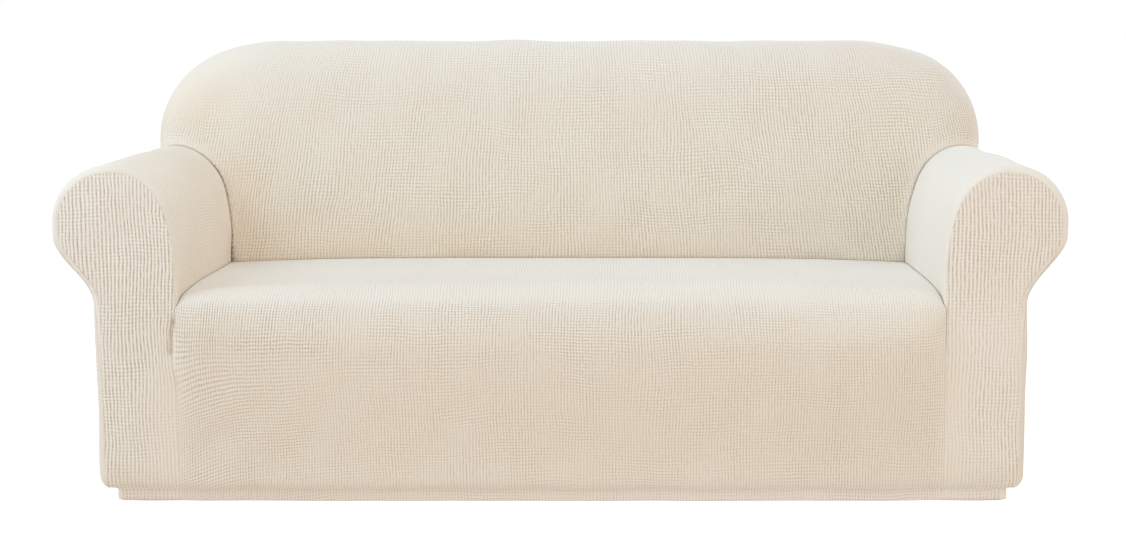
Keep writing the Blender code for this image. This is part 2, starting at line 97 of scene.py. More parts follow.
ARM_FRONT_SOFT, ARM_FRONT_BEND = 0.05, 0.7  # over this distance from its seams, and how soon
EDGE_GROWS = (1.2, 2.2)  # places round the arm's section between which INNER_EDGE_R grows to EDGE_R
FACE_TAIL = 0.020  # depth of the arm panel's last run where it ends on the backrest's face
CROWN_POWER, SIDE_POWER = 4, (5, 50)  # how squarely the seat falls to its sides: its crown, top and front
FACE_LEAVES_FOOT = 0.4  # share of the backrest's face over which it leaves the line of the seat's rear edge
ROLL_HANDLE = 0.55  # how full the backrest's rounded edge is
SIDE_DRAWN = 0.72  # column from which the backrest's side is drawn on to the arm

HEM_IN_SIDE, HEM_IN_FRONT, HEM_IN_REAR = 0.029, 0.022, 0.022  # how far the hem is turned in
# Ways round the hem by which its cloth has turned in and its band has turned down, the turn's share of the
# way in, and the band's drop.
HEM_TURNED, HEM_BANDED = 0.40, 0.65
HEM_TURN_SHARE, HEM_BAND_DROP = 0.55, 0.0085

# The middle of the backrest's face: height, depth.
BACK_FACE = (
    (0.400, 0.560),
    (0.445, 0.546),
    (0.515, 0.543),
    (0.615, 0.562),
    (0.715, 0.598),
    (0.815, 0.642),
    (0.920, 0.690),
)
BACK_BELLY = 0.012  # how much further forward its middle is than its sides

# The seam between backrest and arm from the backrest's face to the rear: way along it, place round the
# arm's section (see arm_section), depth.
EAR_SEAM = (
    (0.00, 1.60, 0.576),
    (0.25, 2.05, 0.606),
    (0.50, 2.27, 0.650),
    (0.75, 2.40, 0.745),
    (1.00, 2.55, SEAM_DEPTH),
)
EAR_START, EAR_END = EAR_SEAM[0][1], EAR_SEAM[-1][1]

# Ways up the backrest: 0 at the seat, FACE_END where its face ends, RIDGE on its highest line, 1 at the
# rear seam.
FACE_END, RIDGE = 0.50, 0.82
# Ways along the arms at which their rounded front ends and their rear rounding begins.
FRONT_ROUNDING, REAR_ROUNDING = 0.10, 0.88
# How far the seat has rounded over to its front: way along the arm beside it, share of the quarter turn.
NOSE_TURN = ((0.00, 1.00), (0.05, 0.71), (0.10, 0.41), (0.165, 0.16), (0.24, 0.00))
NOSE_WAY = NOSE_TURN[-1][0]
REAR_CORNER = 0.80  # column at which the rear panel's side turns into its top
TOP_FLAT_END, CORNER_END = 0.64, 0.93  # columns between which the backrest's corner is rounded
# Places round the arm's section between which its roll closes its front, see arm_section.
CREST_START, CREST_END = 1.20, 2.78

# How finely each panel is laid out: where a run starts and ends, points in it.
BACK_WAYS = ((0.0, FACE_END, 66), (FACE_END, RIDGE, 34), (RIDGE, 1.0, 14))
PLACES_BELOW_EAR = ((EAR_END, 4.0, 44), (4.0, 5.0, 40), (5.0, 6.0, 26))
ARM_WAYS = (
    (0.0, FRONT_ROUNDING, 26),
    (FRONT_ROUNDING, NOSE_WAY, 16),
    (NOSE_WAY, REAR_ROUNDING, 50),
    (REAR_ROUNDING, 1.0, 10),
)
COLUMNS = ((0.0, TOP_FLAT_END, 64), (TOP_FLAT_END, CORNER_END, 36), (CORNER_END, 1.0, 10))
DROP_PLACES = ((2.0, 3.0, 44), (3.0, 4.0, 26))
FRONT_ROWS, FRONT_COLUMNS, REAR_ROWS = 96, 64, 112
INNER_POINTS, OUTER_POINTS, CREST_POINTS = 60, 160, 200  # of an arm front's seams, before they are evened out

# The little hollow beside the seat's left front corner, with painted shade in it: upper and lower end of its
# middle as (x, height), and half its width; over what distance below its upper end it fades in, and between
# what heights above its lower end it fades out; how dark its painted shade is, and what share of the knit's
# relief it loses.
CORNER_HOLLOW = ((-0.7585, 0.376), (-0.7640, 0.300), 0.0050)
HOLLOW_FADES = (0.035, -0.014, 0.004)
HOLLOW_NARROWS = 0.45  # share of its width left at its upper end
HOLLOW_SHADE, HOLLOW_SMOOTH = 0.20, 0.8
SEAT_SIDE_X = 0.755  # where the seat panel's front meets the arms' fronts
# Soft folds in the stretched cloth: which, one end, other end, width, push. Each is (x, depth, z), with
# depths measured from START.
FOLDS = (
    ("seat's rear edge", (-0.760, 0.560, 0.412), (0.760, 0.560, 0.412), 0.090, (0.0, 0.0, 0.0045)),
    ("left seat edge", (-0.757, 0.000, 0.335), (-0.757, 0.000, 0.270), 0.025, (-0.0057, -0.002, 0.0)),
    ("beside left seat edge", (-0.7575, 0.000, 0.360), (-0.7600, 0.000, 0.302), 0.0052, (0.0, 0.009, 0.0)),
    ("left arm's rear", (-0.765, 0.560, 0.585), (-0.754, 0.552, 0.490), 0.060, (0.0078, 0.0, 0.0)),
    ("right arm's rear", (0.754, 0.552, 0.510), (0.753, 0.557, 0.440), 0.050, (-0.0038, 0.0, 0.0)),
    ("left drag line", (-0.70, -0.010, 0.110), (-0.58, -0.030, 0.190), 0.030, (0.0, 0.003, 0.0)),
    ("right drag line", (0.72, -0.008, 0.090), (0.66, -0.016, 0.150), 0.030, (0.0, 0.0025, 0.0)),
    ("left lumbar pull", (-0.70, 0.548, 0.430), (-0.56, 0.545, 0.500), 0.040, (0.0, 0.004, 0.0)),
    ("right lumbar pull", (0.70, 0.548, 0.425), (0.58, 0.545, 0.480), 0.035, (0.0, 0.004, 0.0)),
)
# The slow unevenness of the stretched cloth: height, waves per metre along x, y and z, phase.
WAVES = (
    (0.0009, (2.9, 1.7, 1.1), 0.4),
    (0.0007, (-3.8, 2.2, 4.1), 2.1),
    (0.0006, (5.1, -3.0, 2.6), 4.0),
    (0.0004, (7.3, 4.4, -6.2), 1.3),
)
WAVES_SETTLE = 0.03  # it dies out over this distance from a seam

# Seams. A kind's groove, how dark its line is and how wide; the line is partly the seam itself and partly
# shade painted into its crease.
RINGS = (0.0008, 0.0018, 0.0032, 0.0055, 0.0090)  # distances from a seam of the rows added beside it
SEAM_ROLL = 0.0032  # the cloth rolls into a seam over this distance
SEAM_STEP = 0.0005  # how far apart the points lie that stand for a seam
SEAM_KINDS = {
    "seat_back": (0.0004, 0.05, 0.0025),
    "arm_back": (0.0008, 0.42, 0.0029),
    "arm_seat": (0.0005, 0.07, 0.0018),
    "front": (0.0003, 0.03, 0.0018),
    "rear": (0.0007, 0.14, 0.0020),
}
# How dark the painted shade in the crease between arm and backrest is up each side, darker on the left where
# less
# light falls, and how wide: height, darkness on the left and on the right, share of its width.
ARM_BACK_SHADE_LINE = (
    (0.400, 1.90, 0.25, 2.2),
    (0.440, 1.85, 0.28, 1.9),
    (0.458, 1.70, 0.35, 1.3),
    (0.485, 1.45, 0.40, 1.0),
    (0.520, 1.25, 0.52, 1.2),
    (0.550, 1.30, 0.65, 1.3),
    (0.585, 1.45, 0.80, 1.3),
    (0.630, 1.25, 0.75, 1.2),
    (0.655, 0.60, 0.40, 1.0),
    (0.690, 0.20, 0.15, 1.0),
)
# Heights over which a seam beside the seat or round an arm's front starts to show: its groove, its line.
LOW_SEAMS, GROOVE_RISE, LINE_RISE = ("front", "arm_seat"), (0.28, 0.34), (0.34, 0.40)
# The arms' shade on the backrest beside the seams: darkness, reach. Then the heights over which it fades,
# and the share of the knit's relief that is lost there.
ARM_SHADE = {"left": (0.20, 0.018), "right": (0.13, 0.018)}
SHADE_TOP, SHADE_SMOOTH = (0.66, 0.60), 0.65
EDGE_THICKNESS, EDGE_THINS = 0.12, 0.007  # share of the cloth's thickness left at a seam, and its reach
TURNED_OVER = ("inside_back", "arm_left", "arm_front_right")  # sheets whose rows and columns run clockwise

# Each panel: its seams, edge by edge; the spacing of its ribs and of its rows, as stretched; its flat cut's
# width, length and area; and what it is sewn to.
PANELS = {
    "seat_front": (
        (("first", "seat_back"), ("left", "arm_seat"), ("right", "arm_seat")),
        (0.0062, 0.0066),
        (1.70, 1.02, 1.62),
        ["inside_back", "arm_left", "arm_right"],
    ),
    "inside_back": (
        (("first", "seat_back"), ("last", "rear"), ("left", "arm_back"), ("right", "arm_back")),
        (0.0071, 0.0074),
        (1.72, 0.70, 1.15),
        ["outside_back", "arm_left", "arm_right"],
    ),
    "outside_back": (
        (("last", "rear"), ("left", "rear"), ("right", "rear")),
        (0.0068, 0.0070),
        (1.80, 0.82, 1.40),
        ["inside_back", "arm_left", "arm_right"],
    ),
}
for side, rib in (("left", 0.0073), ("right", 0.0072)):
    PANELS["arm_" + side] = (
        (("first", "arm_seat"), ("left", "front"), ("right", "arm_back")),
        (0.0062, 0.0068),
        (1.00, 0.85, 0.72),
        ["inside_back", "outside_back", "seat_front"],
    )
    PANELS["arm_front_" + side] = (
        (("last", "front"), ("left", "front"), ("right", "front")),
        (rib, 0.0072),
        (0.26, 0.62, 0.12),
        ["arm_" + side, "seat_front"],
    )

# The knit.
RIB_LEAN, RIB_LEAN_Z = 0.20, 0.6  # how much closer the backrest's ribs run per metre above this height
RIB_CROWD = 0.10  # and how much closer the seat panel's run towards its sides
# How far rows drop towards the seat panel's left side, how soon, and the heights over which that fades.
ROW_TILT, ROW_TILT_REACH, ROW_TILT_TOP = 0.070, 0.17, (0.16, 0.38)
# How far ribs and rows wander: scale of the noise, how many ribs and how many rows it moves them by.
WANDER = ((5.0, 3.2, 4.0), (34.0, 0.55, 0.55), (120.0, 0.10, 0.25))
# Noises laid out in ribs and rows: how fast they change across either, detail, offset.
CELLS, STREAKS, PATCHES = (0.9, 0.45, 1.0, 0.0), (0.09, 0.022, 2.0, 0.0), (0.05, 0.12, 3.0, 7.0)
# How much grooves show between ribs, between rows, and from stitch to stitch: noise level of the least, of
# the most, least, most.
RIB_SHOW = (0.32, 0.64, 0.55, 1.0)
ROW_SHOW = (0.36, 0.66, 0.10, 0.75)
CELL_SHOW = (0.30, 0.68, 0.50, 1.35)
# Share of the ribs' grooves lost where the rows show most, and of the rows' where the ribs do.
RIB_LOSS, ROW_LOSS = 0.55, 0.75
# A groove's sharpness, and the level that evens it out.
RIB_GROOVE, ROW_GROOVE = (1.1, 0.48), (1.4, 0.42)
MEAN_LEVEL, FLAT_LEVEL = 0.60, 0.86  # of the knit at full relief and where it is smooth; groove 0, ridge 1
FIBRES = ((900.0, 0.16), (260.0, 0.14))  # the yarn's own unevenness: scale, height
BUMP_STRENGTH, BUMP_HEIGHT = 0.6, 0.0007
RIB_COLOUR = (0.905, 0.850, 0.755, 1.0)
RIB_COLOUR_WARM = (0.905, 0.842, 0.743, 1.0)
PAINTED_LIGHT_COLOUR = (0.955, 0.940, 0.885, 1.0)  # of the ridges where light is painted on the cloth
WARM_SHADE_COLOUR = (0.925, 0.815, 0.680, 1.0)  # and where warm shade is painted on it
# the knit's grooves, darkened with painted shade as well as bumped
GROOVE_SHADE_COLOUR = (0.50, 0.42, 0.32, 1.0)
# colour of the seams' lines and of painted shade: in the crease between arm and backrest, beside the arms on
# the backrest, in the hollow by the seat's left corner and along the hem's crease
SEAM_AND_SHADE_COLOUR = (0.26, 0.18, 0.11, 1.0)
WARM_PATCHES = (9.0, 0.40, 0.62)  # scale of the warmer ribs' patches, noise levels between which they start
SEAM_BREAKS = (160.0, 0.30, 0.68, 0.45, 1.45)  # scale at which seams' lines vary, noise levels, least, most
HEM_CREASE_SHADE = (0.034, 0.08, 0.0035)  # painted shade along the cloth's crease where it turns in: height, darkness, width
SURFACE = {"Roughness": 0.92, "Specular IOR Level": 0.25, "Sheen Weight": 0.12, "Sheen Roughness": 0.45}

# How the knit varies over each panel. A look starts from a value, or from a curve (height, value), and
# changes by steps: how ("least" raises it to the value), a value, and where. Where is an axis, where the step
# starts to show and where it shows in full ("side" is the distance from the middle), or a spot: x, height,
# half width, half height.
SEAT_RIM = (("x", -SEAT_SIDE_X, -0.758), ("z", 0.255, 0.290))  # the seat panel's edge beside the left arm, where the knit is smoothed and a highlight is painted
INNER_FOOT = (("side", 0.835, SEAT_SIDE_X), ("z", 0.36, 0.20))  # an arm front's foot beside the seat
ARM_INSIDE = (("depth", 0.50, 0.10), ("z", 0.64, 0.56))
ARM_OUTSIDE = ("least", 0.50, ("side", 0.890, 0.915), ("z", 0.56, 0.48))
# Light painted on the arms' rolls close to their fronts.
FRONT_RIM = ("least", 0.60, ("depth", 0.110, 0.005), ("z", 0.30, 0.45), ("side", 0.84, 0.90))
# Less painted light at an arm front's foot beside the seat, and none at its lowest edge.
FRONT_FOOT = (("times", 0.3, *INNER_FOOT), ("times", 0.0, ("z", 0.10, 0.035)))
# Share of the knit's relief left where the cloth is stretched: 0 smooth, 1 full.
HEM_RELIEF, HEM_STARTS = 0.75, (0.060, 0.030)  # on every panel
RELIEF = {
    "seat_front": (
        0.46,
        ("to", 0.60, ("z", 0.26, 0.34)),
        ("add", 0.14, ("x", -0.35, -0.70)),
        ("times", 0.75, ("side", 0.725, SEAT_SIDE_X)),
        ("times", 0.2, *SEAT_RIM),
        ("times", 0.7, ("x", 0.30, 0.60), ("z", 0.26, 0.34)),
        ("times", 1.22, ("x", 0.35, 0.65), ("z", 0.34, 0.28)),
        ("to", 0.31, ("z", 0.386, 0.409)),
    ),
    "inside_back": (
        ((0.35, 0.50), (0.50, 0.58), (0.65, 0.58), (0.78, 0.52), (0.86, 0.42), (0.92, 0.35)),
        ("times", 0.6, ("depth", 0.66, 0.80)),
        ("times", 0.4, ("x", -0.55, -0.80), ("z", 0.66, 0.80)),
        ("times", 1.15, ("x", 0.35, 0.65)),
    ),
    "outside_back": (0.5,),
    "arm_left": (0.15, ("times", 2.7, *ARM_INSIDE), ARM_OUTSIDE),
    "arm_right": (0.09, ("times", 2.7, *ARM_INSIDE), ARM_OUTSIDE),
    "arm_front_left": (0.72, ("times", 0.55, *INNER_FOOT), ("times", 0.92, ("z", 0.45, 0.55))),
    "arm_front_right": (
        0.60,
        ("times", 0.55, *INNER_FOOT),
        ("times", 0.72, ("spot", 0.0, 0.34, math.inf, 0.08)),
    ),
}
# Where the rows show more than the ribs (up to 1) or less (down to -1).
ROWY = {
    "seat_front": (
        0.0,
        ("add", 0.9, ("spot", -0.66, 0.22, 0.22, 0.12)),
        ("add", -0.9, ("spot", -0.58, 0.37, 0.24, 0.05)),
        ("add", -0.1, ("spot", 0.10, 0.22, 0.40, 0.12)),
        ("add", -0.4, ("spot", 0.62, 0.15, 0.15, 0.12)),
    ),
    "inside_back": (
        0.0,
        ("add", -0.8, ("spot", -0.62, 0.66, 0.20, 0.20)),
        ("add", -0.5, ("spot", 0.00, 0.60, 0.45, 0.30)),
        ("add", -0.7, ("spot", 0.60, 0.60, 0.12, 0.30)),
        ("add", 0.9, ("spot", 0.72, 0.74, 0.07, 0.08)),
    ),
    "arm_front_left": (-0.7, ("add", 0.3, ("spot", -0.88, 0.20, 0.10, 0.10))),
    "arm_front_right": (-0.7,),
}
# Painted light: where the ridges are made paler, standing in for light falling on the cloth. The hem has it
# on every
# panel: share on its left and right, where that changes over, heights over which it starts.
HEM_PAINTED_LIGHT, HEM_PAINTED_LIGHT_X, HEM_PAINTED_LIGHT_Z = (0.45, 0.90), (-0.5, 0.7), (0.045, 0.030)
PAINTED_LIGHT = {
    "seat_front": (
        0.64,
        ("to", 0.52, ("x", -0.4, 0.2)),
        ("to", 1.0, ("depth", 0.08, 0.38)),
        ("times", 0.0, ("z", 0.408, 0.368)),
        # painted highlight along the seat's edge beside the left arm
        ("least", 1.0, *SEAT_RIM),
        ("least", 0.10, ("x", 0.35, 0.65), ("z", 0.18, 0.34)),
    ),
    "inside_back": (
        0.0,
        ("least", 0.30, ("z", 0.74, 0.88)),
        ("least", 0.20, ("z", 0.52, 0.44), ("x", -0.2, 0.5)),
    ),
    "arm_left": (0.0, FRONT_RIM),
    "arm_right": (0.0, ("least", 0.40, ("z", 0.10, 0.40)), FRONT_RIM),
    "arm_front_left": (0.70, ("to", 1.0, ("z", 0.35, 0.50)), *FRONT_FOOT),
    "arm_front_right": (0.65, *FRONT_FOOT),
}
# And painted shade, warmer and a little darker: low in the corners between the seat, the backrest and the
# left arm.
WARM_SHADE = {
    "inside_back": (
        0.70,
        ("to", 0.45, ("x", -0.5, 0.5)),
        ("times", 0.0, ("z", 0.41, 0.58)),
        ("least", 0.75, ("x", -0.62, -0.74), ("z", 0.66, 0.60)),
        ("least", 0.35, ("x", 0.62, 0.74), ("z", 0.66, 0.60)),
        ("least", 0.60, ("x", -0.66, -0.86), ("z", 0.66, 0.74)),
    ),
    "arm_left": (0.65, ("to", 0.32, ("z", 0.38, 0.56)), ("times", 0.0, ("depth", 0.045, 0.015))),
}

# Camera, light and floor. The camera looks EYE_DOWN degrees below level.
EYE, EYE_DOWN, LENS, SHIFT_X = (0.122, -4.306, 0.953), 7.46, 64.2, -0.0533
WORLD_COLOUR, WORLD_LIGHT = (1.0, 0.925, 0.868, 1.0), 0.77
FLOOR_Z, FLOOR_REACH = -0.001, 40.0
FLOOR_BOUNCE = (0.42, 0.38, 0.33, 1.0)  # what the floor sends back to the cloth
FLOOR_UPLIGHT = (0.40, 0.355, 0.345, 1.0)  # and what a lit floor adds to it
WHITE, FLOOR_WHITE = (1.0, 1.0, 1.0, 1.0), (0.80, 0.80, 0.80, 1.0)  # how background and floor are seen
FLOOR_LOOK = {"Base Color": FLOOR_WHITE, "Roughness": 0.9, "Emission Color": WHITE, "Emission Strength": 0.55}
# Name, place, aim, size, watts, colour.
LAMPS = (
    ("key", (-2.8, -1.6, 2.9), (0.2, 0.0, 0.4), 1.6, 22.0, (0.50, 0.86, 1.0)),
    ("left", (-8.4, 0.4, 2.4), (0.4, 0.0, 0.5), 2.6, 162.0, (0.47, 0.74, 1.0)),
    ("right", (3.6, -3.4, 1.2), (0.0, 0.0, 0.4), 2.0, 8.5, (0.90, 1.0, 0.60)),
    ("high", (0.3, -3.3, 2.5), (0.0, -0.1, 0.4), 2.0, 12.0, (1.0, 0.90, 0.95)),
    ("sky", (0.3, -0.3, 3.6), (0.0, 0.1, 0.0), 2.4, 12.0, (0.25, 0.62, 1.0)),
    ("rim", (3.4, 2.6, 2.0), (0.8, 0.4, 0.7), 1.2, 40.0, (0.45, 0.75, 1.0)),
)


# ---- the shape ----


def ramp(low, high, x):
    """0 up to low, 1 from high on, and a straight rise between them."""
    return np.clip((np.asarray(x, float) - low) / (high - low), 0.0, 1.0)


def smoothstep(low, high, x):
    """The same with a smooth rise."""
    share = ramp(low, high, x)
    return share * share * (3.0 - 2.0 * share)


def blend(a, b, share):
    return a + (b - a) * share


def curve(table, x, column=1):
    """A smooth curve through one of a table's columns, over its first column."""
    at = np.array([row[0] for row in table])
    value = np.array([row[column] for row in table])
    slope = np.gradient(value, at)
    x = np.clip(np.asarray(x, float), at[0], at[-1])
    i = np.clip(np.searchsorted(at, x, side="right") - 1, 0, len(at) - 2)
    step = at[i + 1] - at[i]
    s = (x - at[i]) / step
    bend_a = (2 * s**3 - 3 * s**2 + 1) * value[i] + (s**3 - 2 * s**2 + s) * step * slope[i]
    bend_b = (3 * s**2 - 2 * s**3) * value[i + 1] + (s**3 - s**2) * step * slope[i + 1]
    return bend_a + bend_b


def points(x, depth, z):
    """Points in the part's frame, from widths, depths and heights."""
    return np.stack(np.broadcast_arrays(x, depth, z), axis=-1).astype(float)


def hem(way):
    """(share of the way in, height) of the hem, from where the cloth turns in (0) to its lower edge (1)."""
    turn = ramp(0, HEM_TURNED, way) * math.pi / 2
    band = ramp(HEM_TURNED, HEM_BANDED, way) * math.pi / 2
    share = HEM_TURN_SHARE * (1 - np.cos(turn)) + (1 - HEM_TURN_SHARE) * np.sin(band)
    height = blend(HEM_TURN_Z, UNDERSIDE_Z, np.sin(turn)) - HEM_BAND_DROP * (1 - np.cos(band))
    return share, height * (1 - ramp(HEM_BANDED, 1, way))


def seat_seam_z(depth):
    """Height of the seam between seat and arm."""
    corner = INNER_EDGE_R * (1 - math.sin(EDGE_ANGLE))
    dip = ramp(SIDE_NOSE_BACK, corner, depth)
    behind = ramp(SIDE_NOSE_BACK, SEAT_BACK, depth)
    return blend(SEAT_CORNER_Z, SEAT_SEAM_Z - SEAT_FALL * behind**2, (1 - dip**2) ** SEAT_SEAM_BEND)


def arm_section(place, along, seam_z):
    """(x, z) round the right arm: place 0 at the seat seam, 1 where the inner face starts to round over,
    2 on top, 3 at the outermost point, 4 where the outer side is upright, 5 where the hem turns in and 6 at
    its lower edge. along is 0 at the arm's front and 1 at the backrest."""
    inner = blend(INNER_X_FRONT, INNER_X_BACK, along)
    apex = blend(APEX_X_FRONT, APEX_X_BACK, along)
    leg = np.clip(place[..., None] - np.arange(6), 0.0, 1.0)
    quarter = leg * math.pi / 2
    z = blend(seam_z, SHOULDER_Z, leg[..., 0]) + (ARM_TOP_Z - SHOULDER_Z) * np.sin(quarter[..., 1])
    x = inner + (apex - inner) * (1 - np.cos(quarter[..., 1]))
    full = ROLL_FULL * math.sqrt(0.5) * np.sin(2 * quarter[..., 1]) ** 2
    x, z = x - full + (ROLL_X - apex) * np.sin(quarter[..., 2]), z + full
    z = z - (ARM_TOP_Z - BULGE_Z) * (1 - np.cos(quarter[..., 2]))
    z = z - (BULGE_Z - SIDE_TOP_Z) * leg[..., 3] - (SIDE_TOP_Z - HEM_TURN_Z) * leg[..., 4]
    tucked = 1 - smoothstep(SIDE_TOP_Z, TUCK_Z, z)
    x = x - (ROLL_X - SIDE_X) * tucked * (place > 3)
    share, hem_z = hem(leg[..., 5])
    return x - HEM_IN_SIDE * share, np.where(place > 5, hem_z, z)


def section_outwards(place, along, seam_z):
    """Unit normals of the arm's section, as (x, z), pointing out of the arm."""
    step = 0.004
    x0, z0 = arm_section(np.maximum(place - step, 0), along, seam_z)
    x1, z1 = arm_section(np.minimum(place + step, 6), along, seam_z)
    length = np.hypot(x1 - x0, z1 - z0)
    return (z0 - z1) / length, (x1 - x0) / length


def back_face(x, z):
    """Depth of the backrest's face."""
    return curve(BACK_FACE, z) + BACK_BELLY * (x / BACK_X) ** 2


def ear_way(place):
    """Way along the ear seam of a place round the arm's section."""
    ways = np.linspace(0, 1, 201)
    return np.interp(place, curve(EAR_SEAM, ways), ways)


def arm_end(place):
    """Depth at which the arm panel ends, at each place round its section."""
    x, z = arm_section(np.minimum(place, EAR_START), 1.0, SEAT_SEAM_Z - SEAT_FALL)
    on_face = back_face(x, z)
    return np.where(place < EAR_START, on_face, curve(EAR_SEAM, ear_way(place), 2))


def arm_panel(place, way):
    """The right arm's panel: place round its section, way from its front seam (0) to its rear edge (1)."""
    place, way = np.broadcast_arrays(np.asarray(place, float), np.asarray(way, float))
    edge = EDGE_ANGLE * (1 - ramp(0, FRONT_ROUNDING, way))
    edge_r = blend(INNER_EDGE_R, EDGE_R, smoothstep(*EDGE_GROWS, place))
    past_ear = smoothstep(2.0, EAR_END, place)
    rounded = SEAM_DEPTH - (REAR - REAR_R)
    tail = blend(FACE_TAIL, rounded, past_ear)
    middle, last = ramp(FRONT_ROUNDING, REAR_ROUNDING, way), ramp(REAR_ROUNDING, 1, way)
    end = arm_end(place)
    turned_in, _ = hem(place - 5)
    depth = blend(edge_r * (1 - np.sin(edge)), end - tail, middle) + tail * last
    turn = math.asin(rounded / REAR_R)
    depth = depth + turned_in * (HEM_IN_FRONT * (1 - middle) - HEM_IN_REAR * middle)
    inset = edge_r * (1 - np.cos(edge)) + REAR_R * (1 - np.cos(turn * last)) * past_ear
    along = ramp(0, SEAT_BACK, depth)
    seam_z = seat_seam_z(depth)
    x, z = arm_section(place, along, seam_z)
    out_x, out_z = section_outwards(place, along, seam_z)
    upright = 1 - smoothstep(5.0, 5.1, place)
    return points(x - inset * out_x, depth, z - inset * out_z * upright)


def seat_side(profile):
    """The seat panel's right side, from the backrest (0) over its front corner (2) to the hem (3 to 4)."""
    seam = arm_panel(np.zeros_like(profile), ramp(2, 0, profile))
    corner = arm_panel(0.0, 0.0)
    share, hem_z = hem(profile - 3)
    z = np.where(profile > 3, hem_z, blend(SEAT_CORNER_Z, HEM_TURN_Z, ramp(2, 3, profile)))
    drop = points(corner[0], corner[1] + HEM_IN_FRONT * share, z)
    return np.where((profile > 2)[..., None], drop, seam)


def seat_line(profile, crown, nose_back, nose_proud, nose_z):
    """A line down the seat panel where it lies crown above its side seam, by the same places."""
    top = SEAT_SEAM_Z + crown
    beside = seat_side(np.minimum(profile, 2.0))[..., 1]
    first, last = seat_side(np.array([2 * (1 - NOSE_WAY), 0.0]))[:, 1]
    behind = ramp(first, last, beside)
    nose = curve(NOSE_TURN, 1 - profile / 2) * math.pi / 2
    share, hem_z = hem(profile - 3)
    depth = blend(nose_back, back_face(0.0, top - SEAT_FALL), behind)
    depth = depth - (nose_back + nose_proud) * np.sin(nose)
    depth = depth + (nose_proud - FOOT_PROUD) * smoothstep(2, 3, profile) + HEM_IN_FRONT * share
    z = top - SEAT_FALL * behind**2 - (top - nose_z) * (1 - np.cos(nose))
    z = z - (nose_z - HEM_TURN_Z) * ramp(2, 3, profile)
    return points(0.0, depth, np.where(profile > 3, hem_z, z))


def seat_front(column, profile):
    """The seat panel: full in its middle, with a tighter edge towards the arms, and square against them at
    its front."""
    column, profile = np.broadcast_arrays(np.asarray(column, float), np.asarray(profile, float))
    side = seat_side(profile)
    middle = seat_line(profile, SEAT_CROWN, NOSE_BACK, NOSE_PROUD, NOSE_Z)
    corner = seat_line(profile, CORNER_CROWN, CORNER_BACK, CORNER_PROUD, CORNER_Z)
    boxy = blend(*SIDE_POWER, smoothstep(1.5, 1.75, profile) * (1 - smoothstep(2.0, 3.0, profile)))
    made = blend(middle, corner, (np.abs(column) ** CROWN_POWER)[..., None])
    made = blend(made, side, (np.abs(column) ** boxy)[..., None])
    made[..., 0] = column * side[..., 0]
    return made


def back_outline(column):
    """(x, z) of the backrest's outline and its outward direction, from the middle (0) to the arm (1)."""
    column = np.abs(column)
    turn = ramp(TOP_FLAT_END, CORNER_END, column) * math.pi / 2
    wide, high = BACK_X - TOP_FLAT_X, HEIGHT - BACK_CORNER_Z
    x = TOP_FLAT_X * ramp(0, TOP_FLAT_END, column) + wide * np.sin(turn)
    z = HEIGHT - high * (1 - np.cos(turn)) - (BACK_CORNER_Z - EAR_Z) * ramp(CORNER_END, 1, column)
    out_x, out_z = high * np.sin(turn), wide * np.cos(turn)
    length = np.hypot(out_x, out_z)
    out_x, out_z = out_x / length, out_z / length
    full = CORNER_FULL * np.sin(2 * turn) ** 2
    return x + full * out_x, z + full * out_z, out_x, out_z


def back_place(way):
    """Place round the arm's section at a way up the backrest's side."""
    on_ear = curve(EAR_SEAM, ramp(FACE_END, 1, way))
    return np.where(way < FACE_END, way / FACE_END * EAR_START, on_ear)


def back_free(column, way):
    """The right half of the inside back as it would be with no arm beside it."""
    foot = seat_front(column, np.zeros_like(column))
    x, z, out_x, out_z = back_outline(column)
    end_x, end_z = x - BACK_FACE_R * out_x, z - BACK_FACE_R * out_z
    up = ramp(0, FACE_END, way)
    face_x, face_z = blend(foot[..., 0], end_x, up), blend(foot[..., 2], end_z, up)
    to_foot = foot[..., 1] - back_face(foot[..., 0], foot[..., 2])
    to_foot = to_foot * (1 - smoothstep(0, FACE_LEAVES_FOOT, up))
    face = points(face_x, back_face(face_x, face_z) + to_foot, face_z)
    # Over the rounded edge, from the face's end to the ridge.
    step = 0.01
    lean = (back_face(end_x, end_z) - back_face(end_x - step * out_x, end_z - step * out_z)) / step
    start = points(end_x, back_face(end_x, end_z), end_z)
    heading = points(out_x, lean, out_z) * (ROLL_HANDLE * BACK_FACE_R)
    ridge = points(x, TOP_DEPTH, z)
    arrival = points(0.0, ROLL_HANDLE * (TOP_DEPTH - start[..., 1]), 0.0)
    s = ramp(FACE_END, RIDGE, way)[..., None]
    over = (1 - s) ** 3 * start + 3 * s * (1 - s) ** 2 * (start + heading)
    over = over + 3 * s**2 * (1 - s) * (ridge - arrival) + s**3 * ridge
    # Down to the rear seam.
    turn = ramp(RIDGE, 1, way) * BACK_REAR_TURN
    inset = BACK_REAR_R * (1 - np.cos(turn))
    depth = TOP_DEPTH + (SEAM_DEPTH - TOP_DEPTH) * np.sin(turn) / math.sin(BACK_REAR_TURN)
    behind = points(x - inset * out_x, depth, z - inset * out_z)
    made = np.where((way < FACE_END)[..., None], face, over)
    return np.where((way > RIDGE)[..., None], behind, made)


def inside_back(column, way):
    """The inside back: seat seam (way 0) to rear seam (1), drawn on to the arms at its sides."""
    column, way = np.broadcast_arrays(np.asarray(column, float), np.asarray(way, float))
    half = np.abs(column)
    made = back_free(half, way)
    side = arm_panel(back_place(way), 1.0)
    near = smoothstep(SIDE_DRAWN, 1.0, half)[..., None]
    made = made + (side - back_free(np.ones_like(way), way)) * near
    made[..., 0] = made[..., 0] * np.where(column < 0, -1, 1)
    return made


